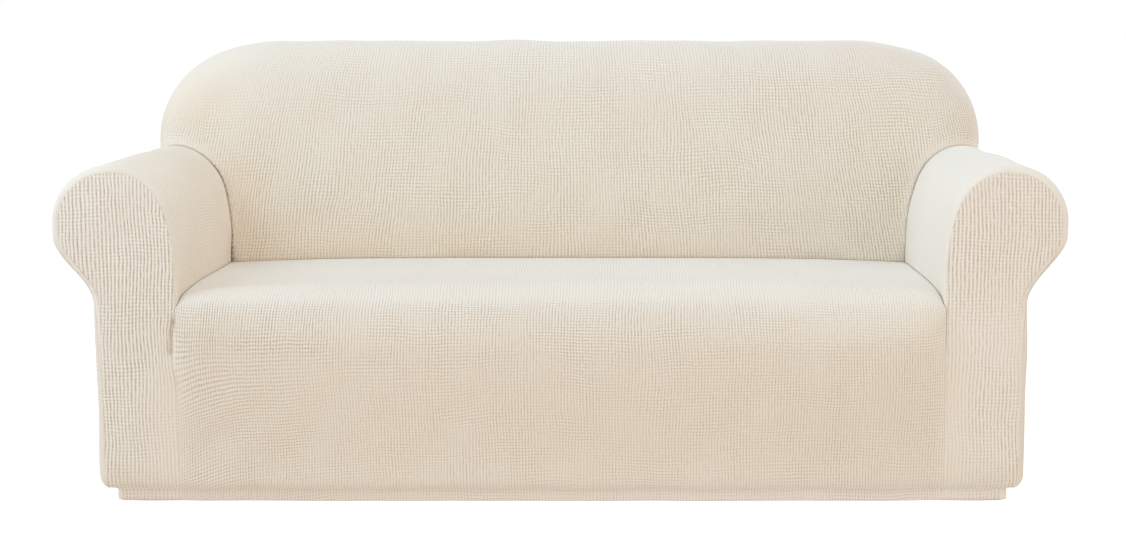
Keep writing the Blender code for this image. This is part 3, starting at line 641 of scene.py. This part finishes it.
def fill(bottom, top, left, right, rise):
    """A patch inside four lists of points. rise is how far up each row stands."""
    across = arc(bottom)
    s = (across / across[-1])[None, :, None]
    r = np.asarray(rise, float)[:, None, None]
    ends = blend(blend(bottom[0], bottom[-1], s), blend(top[0], top[-1], s), r)
    return blend(left[:, None], right[:, None], s) + blend(bottom[None], top[None], r) - ends


def rise_of(line):
    """How far up a side line each of its points stands, 0 in the hem and 1 at its end."""
    return np.maximum.accumulate(ramp(HEM_TURN_Z, line[-1, 2], line[:, 2]))


def from_rim(grid):
    """Distance in the XZ plane from each point to the nearest point of the grid's seams."""
    rim = np.concatenate([grid[:, 0], grid[:, -1], grid[-1]])
    flat = grid.reshape(-1, 3)
    away = np.hypot(flat[:, None, 0] - rim[None, :, 0], flat[:, None, 2] - rim[None, :, 2])
    return away.min(axis=1).reshape(grid.shape[:2])


def mirrored(grid):
    made = grid.copy()
    made[..., 0] = -made[..., 0]
    return made


def spread(runs):
    """The values of a list of runs, each (start, end, points), in one line."""
    parts = [np.linspace(start, end, count, endpoint=False) for start, end, count in runs]
    return np.concatenate(parts + [[runs[-1][1]]])


def arc(line):
    """Distance along a line of points, from its first."""
    steps = np.linalg.norm(np.diff(line, axis=0), axis=-1)
    return np.insert(np.cumsum(steps, axis=0), 0, 0.0, axis=0)


def resampled(line, count):
    """count points along a line, evenly spaced."""
    along = arc(line)
    at = np.linspace(0, along[-1], count)
    return np.stack([np.interp(at, along, values) for values in line.T], axis=-1)


# ---- the panels' sheets ----
# A sheet is an array of rows x columns x 5: the point, then its place in the cloth's own knit, across the
# ribs and across the rows, in metres.


def knit_of_seat(grid):
    """Ribs run from the backrest over the nose to the hem."""
    up = arc(grid[::-1])[::-1]
    x, z = grid[..., 0], grid[..., 2]
    tilt = ROW_TILT * np.exp((x[:, :1] - x) / ROW_TILT_REACH) * (1 - smoothstep(*ROW_TILT_TOP, z))
    return np.dstack([grid, x * (1 + RIB_CROWD * x**2), up + tilt])


def knit_of_back(grid, columns, ways):
    """Ribs run up the face; past its rounded edge the cloth is laid out flat."""
    _, _, out_x, out_z = back_outline(columns)
    out_x = out_x * np.where(columns < 0, -1, 1)
    first = int(np.searchsorted(ways, FACE_END))
    past = arc(grid[first:])
    across, along = grid[..., 0].copy(), grid[..., 2].copy()
    across[first:] = grid[first, :, 0] + past * out_x
    along[first:] = grid[first, :, 2] + past * out_z
    return np.dstack([grid, across * (1 + RIB_LEAN * (along - RIB_LEAN_Z)), along])


def knit_of_arm(grid):
    """Ribs run from front to back round the arm."""
    return np.dstack([grid, arc(grid), grid[..., 1]])


def knit_of_upright(grid):
    """Ribs run up a panel that stands upright."""
    return np.dstack([grid, grid[..., 0], grid[..., 2]])


def all_sheets():
    ways = spread(BACK_WAYS)
    arm_ways = spread(ARM_WAYS)
    half = spread(COLUMNS)
    columns = np.concatenate([-half[:0:-1], half])
    places = np.concatenate([back_place(ways), spread(PLACES_BELOW_EAR)[1:]])

    arm = arm_panel(places[:, None], arm_ways[None, :])
    profile = np.concatenate([2 * (1 - arm_ways[::-1]), spread(DROP_PLACES)[1:]])
    seat = seat_front(columns[None, :], profile[:, None])
    back = inside_back(columns[None, :], ways[:, None])

    beside = len(half) - 1 - int(np.searchsorted(half, REAR_CORNER))
    side = np.concatenate([arm[len(ways) - 1 :, -1][::-1], back[-1, -beside - 1 : -1][::-1]])
    right = resampled(side, REAR_ROWS)
    crest = back[-1, beside:-beside]
    across = np.linspace(-1, 1, len(crest))
    bottom = points(across * right[0, 0], right[0, 1], right[0, 2])
    rear = fill(bottom, crest, mirrored(right), right, rise_of(right))
    rear[..., 1] += (REAR - SEAM_DEPTH) * (1 - ramp(REAR_R, 0, from_rim(rear)) ** 2)

    drop = seat_side(spread(DROP_PLACES))[::-1]
    inner = np.concatenate([drop, arm_panel(np.linspace(0, CREST_START, INNER_POINTS)[1:], 0.0)])
    outer = arm_panel(np.linspace(6.0, CREST_END, OUTER_POINTS), 0.0)
    inner, outer = resampled(inner, FRONT_ROWS), resampled(outer, FRONT_ROWS)
    crest = resampled(arm_panel(np.linspace(CREST_START, CREST_END, CREST_POINTS), 0.0), FRONT_COLUMNS)
    share = np.linspace(0, 1, FRONT_COLUMNS)[:, None]
    front = fill(blend(inner[0], outer[0], share), crest, inner, outer, rise_of(outer))
    front[..., 1] -= ARM_FRONT_PUFF * ramp(0, ARM_FRONT_SOFT, from_rim(front)) ** ARM_FRONT_BEND
    arm, front = knit_of_arm(arm), knit_of_upright(front)
    return {
        "seat_front": knit_of_seat(seat),
        "inside_back": knit_of_back(back, columns, ways),
        "outside_back": knit_of_upright(rear),
        "arm_right": arm,
        "arm_left": mirrored(arm),
        "arm_front_right": front,
        "arm_front_left": mirrored(front),
    }


# ---- detail: seams, folds, and the unevenness of stretched cloth ----


def with_rings(sheet, at_start):
    """A sheet with more rows close to the seam at one of its ends, and its other rows moved up a little."""
    sheet = sheet if at_start else sheet[::-1]
    along = arc(sheet[..., :3])
    rings = np.array(RINGS)[:, None] * np.ones(sheet.shape[1])
    moved = RINGS[-1] + along[1:] * (1 - RINGS[-1] / along[-1])
    wanted = np.concatenate([np.zeros((1, sheet.shape[1])), rings, moved])
    made = np.empty(wanted.shape + sheet.shape[2:])
    for j, k in np.ndindex(sheet.shape[1:]):
        made[:, j, k] = np.interp(wanted[:, j], along[:, j], sheet[:, j, k])
    return made if at_start else made[::-1]


def ringed(sheet, edges):
    for edge in edges:
        axis = 0 if edge in ("first", "last") else 1
        sheet = with_rings(sheet.swapaxes(0, axis), edge in ("first", "left")).swapaxes(0, axis)
    return sheet


def seam_distances(sheet, edges):
    """For each point of a sheet, its distance to each of the sheet's seams."""
    sheet = sheet[..., :3]
    sides = {"first": sheet[0], "last": sheet[-1], "left": sheet[:, 0], "right": sheet[:, -1]}
    found = {}
    for edge in edges:
        line = resampled(sides[edge], int(arc(sides[edge])[-1] / SEAM_STEP) + 2)
        tree = mathutils.kdtree.KDTree(len(line))
        for i, point in enumerate(line):
            tree.insert(point, i)
        tree.balance()
        found[edge] = np.array([tree.find(point)[2] for point in sheet.reshape(-1, 3)])
    return found


def folded(place):
    """Presses the FOLDS into a sheet's points."""
    made = place.copy()
    for _, start, end, width, push in FOLDS:
        start, along = np.array(start), np.subtract(end, start)
        share = np.clip(((place - start) @ along) / (along @ along), 0, 1)
        away = np.linalg.norm(place - start - share[..., None] * along, axis=-1)
        made = made + np.exp(-((away / width) ** 2))[..., None] * np.array(push)
    return made


def unevenness(place):
    """How far the stretched cloth stands out or in, in soft waves."""
    return sum(high * np.sin(place @ (2 * math.pi * np.array(wave)) + phase) for high, wave, phase in WAVES)


def dress(name, sheet):
    """A panel's piece: its sheet with its folds, its seams drawn in, and what its knit looks like, with shade
    and light painted on it.
    """
    seams, pitch, _, _ = PANELS[name]
    sheet = ringed(sheet, [edge for edge, _ in seams])
    place = folded(sheet[..., :3]).reshape(-1, 3)
    near = seam_distances(sheet, [edge for edge, _ in seams])
    depth, seam_and_shade, smooth = np.zeros((3, len(place)))
    close = np.ones(len(place))
    # Each seam darkens its line. Between arm and backrest that is painted shade in the crease, and the arms'
    # shade is painted on the backrest beside it.
    for edge, kind in seams:
        groove, line, width = SEAM_KINDS[kind]
        if kind in LOW_SEAMS:
            groove = groove * smoothstep(*GROOVE_RISE, place[:, 2])
            line = line * smoothstep(*LINE_RISE, place[:, 2])
        away = near[edge]
        depth = np.maximum(depth, groove * np.exp(-((away / SEAM_ROLL) ** 2)))
        if kind == "arm_back":
            left, right, wider = (curve(ARM_BACK_SHADE_LINE, place[:, 2], column) for column in (1, 2, 3))
            line, width = line * np.where(place[:, 0] < 0, left, right), width * wider
        seam_and_shade = np.maximum(seam_and_shade, line * np.exp(-((away / width) ** 2)))
        if name == "inside_back" and kind == "arm_back":
            shade, reach = ARM_SHADE[edge]
            shade = shade * smoothstep(*SHADE_TOP, place[:, 2])
            beside = np.exp(-((away / reach) ** 2))
            seam_and_shade = np.maximum(seam_and_shade, shade * beside)
            smooth = np.maximum(smooth, SHADE_SMOOTH * beside)
        close = np.minimum(close, away)
    index = np.arange(len(place)).reshape(sheet.shape[:2])
    corners = (index[:-1, :-1], index[1:, :-1], index[1:, 1:], index[:-1, 1:])
    faces = np.stack(corners, axis=-1).reshape(-1, 4)
    faces = faces[:, ::-1] if name in TURNED_OVER else faces

    mesh = bpy.data.meshes.new("cloth_" + name)
    place[:, 1] += START
    mesh.from_pydata(place, [], faces.tolist())
    normals = np.empty(len(place) * 3)
    mesh.vertices.foreach_get("normal", normals)
    out = unevenness(place) * smoothstep(0.0, WAVES_SETTLE, close) - depth
    place = place + normals.reshape(-1, 3) * out[:, None]
    mesh.vertices.foreach_set("co", place.ravel())

    knit = sheet[..., 3:].reshape(-1, 2) / np.array(pitch)
    uv = mesh.uv_layers.new(name="cloth")
    uv.data.foreach_set("uv", knit[faces.ravel()].astype(np.float32).ravel())
    # Painted shade along the crease where the hem turns in.
    hem_z, hem_shade, hem_width = HEM_CREASE_SHADE
    seam_and_shade = np.maximum(seam_and_shade, hem_shade * np.exp(-(((place[:, 2] - hem_z) / hem_width) ** 2)))
    in_hem = smoothstep(*HEM_STARTS, place[:, 2])
    # Of these looks, the seams' darkness also holds painted shade (crease between arm and backrest, the arms'
    # shade on the backrest, the hem's crease). The paler ridges are painted light and the warmer ones are
    # painted shade.
    looks = {
        "seam": seam_and_shade,
        "relief": steps(RELIEF, name, place) * blend(1.0, HEM_RELIEF, in_hem) * (1 - smooth),
        "rowy": np.clip(steps(ROWY, name, place), -1, 1),
        "painted_light": np.maximum(steps(PAINTED_LIGHT, name, place), hem_painted_light(place)),
        "warm_shade": steps(WARM_SHADE, name, place),
    }
    # Painted shade in the hollow: darker and warmer, with no painted light and a smoother knit.
    if name == "arm_front_left":
        hollow = in_corner_hollow(place)
        looks["seam"] = np.maximum(seam_and_shade, HOLLOW_SHADE * hollow)
        looks["relief"] = looks["relief"] * (1 - HOLLOW_SMOOTH * hollow)
        looks["painted_light"] = looks["painted_light"] * (1 - hollow)
        looks["warm_shade"] = hollow
    for key, value in looks.items():
        mesh.attributes.new(key, "FLOAT", "POINT").data.foreach_set("value", value.astype(np.float32))
    mesh.shade_smooth()
    mesh.update()

    piece = placed("cloth_" + name, mesh)
    weights = piece.vertex_groups.new(name="thickness")
    thin = np.round(blend(EDGE_THICKNESS, 1.0, smoothstep(0.0, EDGE_THINS, close)), 2)
    for value in np.unique(thin):
        weights.add(np.flatnonzero(thin == value).tolist(), float(value), "REPLACE")
    shell = piece.modifiers.new("cloth", "SOLIDIFY")
    shell.thickness, shell.offset = CLOTH, -1
    shell.vertex_group = "thickness"
    return piece


def steps(look, name, place):
    """A look of a panel at some points: its starting value changed step by step, see RELIEF."""
    x, depth, z = place[:, 0], place[:, 1] - START, place[:, 2]
    axes = {"x": x, "side": np.abs(x), "depth": depth, "z": z}
    start, *changes = look.get(name, (0.0,))
    made = curve(start, z) if isinstance(start, tuple) else np.full(len(place), start)
    for how, value, *bounds in changes:
        where = 1.0
        for axis, *limits in bounds:
            if axis == "spot":
                at_x, at_z, wide, high = limits
                where = where * np.exp(-(((x - at_x) / wide) ** 2 + ((z - at_z) / high) ** 2))
            else:
                where = where * smoothstep(*limits, axes[axis])
        if how == "least":
            made = np.maximum(made, value * where)
        else:
            made = blend(made, {"to": value, "times": made * value, "add": made + value}[how], where)
    return made


def hem_painted_light(place):
    """How much light is painted on the turned-in hem, to make it look lighter than the cloth above it."""
    share = blend(*HEM_PAINTED_LIGHT, smoothstep(*HEM_PAINTED_LIGHT_X, place[:, 0]))
    return share * smoothstep(*HEM_PAINTED_LIGHT_Z, place[:, 2])


def in_corner_hollow(place):
    """1 in the middle of the hollow beside the seat's left front corner, 0 away from it."""
    (x_top, top), (x_foot, foot), wide = CORNER_HOLLOW
    fade_in, fade_from, fade_to = HOLLOW_FADES
    x, z = place[:, 0], place[:, 2]
    up = ramp(foot, top, z)
    high = smoothstep(top, top - fade_in, z) * smoothstep(foot + fade_from, foot + fade_to, z)
    away = (x - blend(x_foot, x_top, up)) / (wide * blend(1.0, HOLLOW_NARROWS, up))
    return np.exp(-(away**2)) * high


# ---- the knit ----


class Wiring:
    """Puts the nodes of a material or world together from plain calls."""

    def __init__(self, made):
        made.use_nodes = True
        self.tree, self.nodes = made.node_tree, made.node_tree.nodes

    def put(self, value, socket):
        if isinstance(value, bpy.types.NodeSocket):
            self.tree.links.new(value, socket)
        else:
            socket.default_value = value

    def node(self, kind, *values):
        node = self.nodes.new("ShaderNode" + kind)
        for value, socket in zip(values, node.inputs):
            self.put(value, socket)
        return node

    def math(self, operation, *values):
        node = self.node("Math", *values)
        node.operation = operation
        return node.outputs[0]

    def total(self, first, *others):
        for other in others:
            first = self.math("ADD", first, other)
        return first

    def product(self, first, *others):
        for other in others:
            first = self.math("MULTIPLY", first, other)
        return first

    def attribute(self, name):
        node = self.node("Attribute")
        node.attribute_name = name
        return node.outputs["Fac"]

    def noise(self, at, scale, detail=2.0):
        node = self.node("TexNoise", at)
        self.put(scale, node.inputs["Scale"])
        self.put(detail, node.inputs["Detail"])
        return node.outputs["Fac"], node.outputs["Color"]

    def ramp(self, value, low, high, to_low=0.0, to_high=1.0):
        node = self.node("MapRange", value, low, high, to_low, to_high)
        node.interpolation_type = "SMOOTHSTEP"
        return node.outputs[0]

    def mix(self, share, first, second):
        node = self.node("Mix", share)
        node.data_type = "RGBA"
        self.put(first, node.inputs[6])
        self.put(second, node.inputs[7])
        return node.outputs[2]

    def show(self, seen, lit, output):
        """Ends in one shader where the camera sees it, and in another where it sends light on."""
        by_eye = self.node("LightPath").outputs["Is Camera Ray"]
        choose = self.node("MixShader", by_eye, lit.outputs[0], seen.outputs[0])
        self.put(choose.outputs[0], self.nodes[output].inputs["Surface"])


def knit_material():
    material = bpy.data.materials.new("beige stretch knit")
    w = Wiring(material)
    shader = w.nodes["Principled BSDF"]
    uv = w.node("UVMap")
    uv.uv_map = "cloth"
    ribs, rows, _ = w.node("SeparateXYZ", uv.outputs[0]).outputs
    space = w.node("TexCoord").outputs["Object"]

    # The cloth is never stretched evenly, so ribs and rows wander.
    for scale, ribs_by, rows_by in WANDER:
        drift = w.node("SeparateXYZ", w.noise(space, scale, 1.0)[1]).outputs
        ribs = w.total(ribs, w.product(drift[0], ribs_by))
        rows = w.total(rows, w.product(drift[1], rows_by))

    def in_knit(over_ribs, over_rows, detail, offset):
        at = w.node("CombineXYZ", w.product(ribs, over_ribs), w.product(rows, over_rows), offset)
        return w.noise(at.outputs[0], 1.0, detail)[0]

    # Each rib and each row is a soft ridge, with a groove on either side.
    def groove(count, sharp, even):
        wave = w.math("COSINE", w.product(count, 2 * math.pi))
        down = w.math("POWER", w.total(w.product(wave, -0.5), 0.5), sharp)
        return w.total(w.product(down, -1.0), even)

    relief, rowy = w.attribute("relief"), w.attribute("rowy")
    cells, least_cell, most_cell, *cell_range = in_knit(*CELLS), *CELL_SHOW
    rib_show = w.product(w.ramp(in_knit(*STREAKS), *RIB_SHOW), relief)
    rib_show = w.product(rib_show, w.ramp(cells, least_cell, most_cell, *cell_range))
    rib_show = w.product(rib_show, w.total(w.product(w.math("MAXIMUM", rowy, 0.0), -RIB_LOSS), 1.0))
    row_show = w.math("MAXIMUM", w.ramp(in_knit(*PATCHES), *ROW_SHOW), w.product(rowy, ROW_SHOW[-1]))
    row_show = w.product(row_show, relief, w.ramp(cells, most_cell, least_cell, *cell_range))
    row_show = w.product(row_show, w.total(w.product(w.math("MINIMUM", rowy, 0.0), ROW_LOSS), 1.0))
    level = w.total(
        w.product(groove(ribs, *RIB_GROOVE), rib_show),
        w.product(groove(rows, *ROW_GROOVE), row_show),
        w.product(w.total(w.product(relief, -1.0), 1.0), FLAT_LEVEL - MEAN_LEVEL),
        MEAN_LEVEL,
    )
    for scale, height in FIBRES:
        fibre, _ = w.noise(space, scale)
        level = w.total(level, w.product(w.total(fibre, -0.5), height))

    warm_scale, *warm_range = WARM_PATCHES
    tone, _ = w.noise(space, warm_scale)
    light = w.mix(w.ramp(tone, *warm_range), RIB_COLOUR, RIB_COLOUR_WARM)
    # warm painted shade low in the corners
    light = w.mix(w.attribute("warm_shade"), light, WARM_SHADE_COLOUR)
    # painted light: paler ridges where light falls
    light = w.mix(w.attribute("painted_light"), light, PAINTED_LIGHT_COLOUR)
    # the grooves between ribs and rows get painted shade
    colour = w.mix(w.ramp(level, 0.0, 1.0), GROOVE_SHADE_COLOUR, light)
    # Seam lines darken the colour last, together with the shade painted in creases and hollows.
    seam_scale, *seam_range = SEAM_BREAKS
    rough, _ = w.noise(space, seam_scale)
    seam = w.product(w.attribute("seam"), w.ramp(rough, *seam_range))
    colour = w.mix(seam, colour, SEAM_AND_SHADE_COLOUR)
    bump = w.node("Bump")
    for socket, value in (("Height", level), ("Strength", BUMP_STRENGTH), ("Distance", BUMP_HEIGHT)):
        w.put(value, bump.inputs[socket])
    for socket, value in {"Base Color": colour, "Normal": bump.outputs[0], **SURFACE}.items():
        w.put(value, shader.inputs[socket])
    return material


# ---- camera, light, floor ----


def placed(name, data):
    """A new object, in the scene."""
    made = bpy.data.objects.new(name, data)
    bpy.context.scene.collection.objects.link(made)
    return made


def add_camera():
    camera = bpy.data.cameras.new("camera")
    camera.sensor_width, camera.lens, camera.shift_x = 36.0, LENS, SHIFT_X
    eye = placed("camera", camera)
    eye.location = EYE
    eye.rotation_euler = (math.radians(90 - EYE_DOWN), 0.0, 0.0)
    bpy.context.scene.camera = eye


def add_light(name, place, aim, size, watts, colour):
    lamp = bpy.data.lights.new(name, "AREA")
    lamp.shape, lamp.size = "DISK", size
    lamp.energy, lamp.color = watts, colour
    light = placed(name, lamp)
    light.location = place
    heading = mathutils.Vector(aim) - mathutils.Vector(place)
    light.rotation_euler = heading.to_track_quat("-Z", "Y").to_euler()


def add_world():
    """Even light from all round, in front of a white background."""
    world = bpy.data.worlds.new("studio")
    w = Wiring(world)
    around = w.nodes["Background"]
    w.put(WORLD_COLOUR, around.inputs["Color"])
    w.put(WORLD_LIGHT, around.inputs["Strength"])
    w.show(w.node("Background", WHITE), around, "World Output")
    bpy.context.scene.world = world


def add_floor():
    mesh = bpy.data.meshes.new("floor")
    corners = [(x * FLOOR_REACH, y * FLOOR_REACH, FLOOR_Z) for x, y in ((-1, -1), (1, -1), (1, 1), (-1, 1))]
    mesh.from_pydata(corners, [], [(0, 1, 2, 3)])
    material = bpy.data.materials.new("white floor")
    w = Wiring(material)
    seen = w.nodes["Principled BSDF"]
    for socket, value in FLOOR_LOOK.items():
        w.put(value, seen.inputs[socket])
    bounce, uplight = w.node("BsdfDiffuse", FLOOR_BOUNCE), w.node("Emission", FLOOR_UPLIGHT)
    w.show(seen, w.node("AddShader", bounce.outputs[0], uplight.outputs[0]), "Material Output")
    mesh.materials.append(material)
    placed("floor", mesh)


def main():
    scene = bpy.context.scene
    scene.view_settings.view_transform = "Standard"
    scene.view_settings.look = "None"
    add_camera()
    add_world()
    add_floor()
    for lamp in LAMPS:
        add_light(*lamp)
    knit = knit_material()
    for name, sheet in all_sheets().items():
        piece = dress(name, sheet)
        piece.data.materials.append(knit)
        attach(piece, "root")
        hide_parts(name)


main()
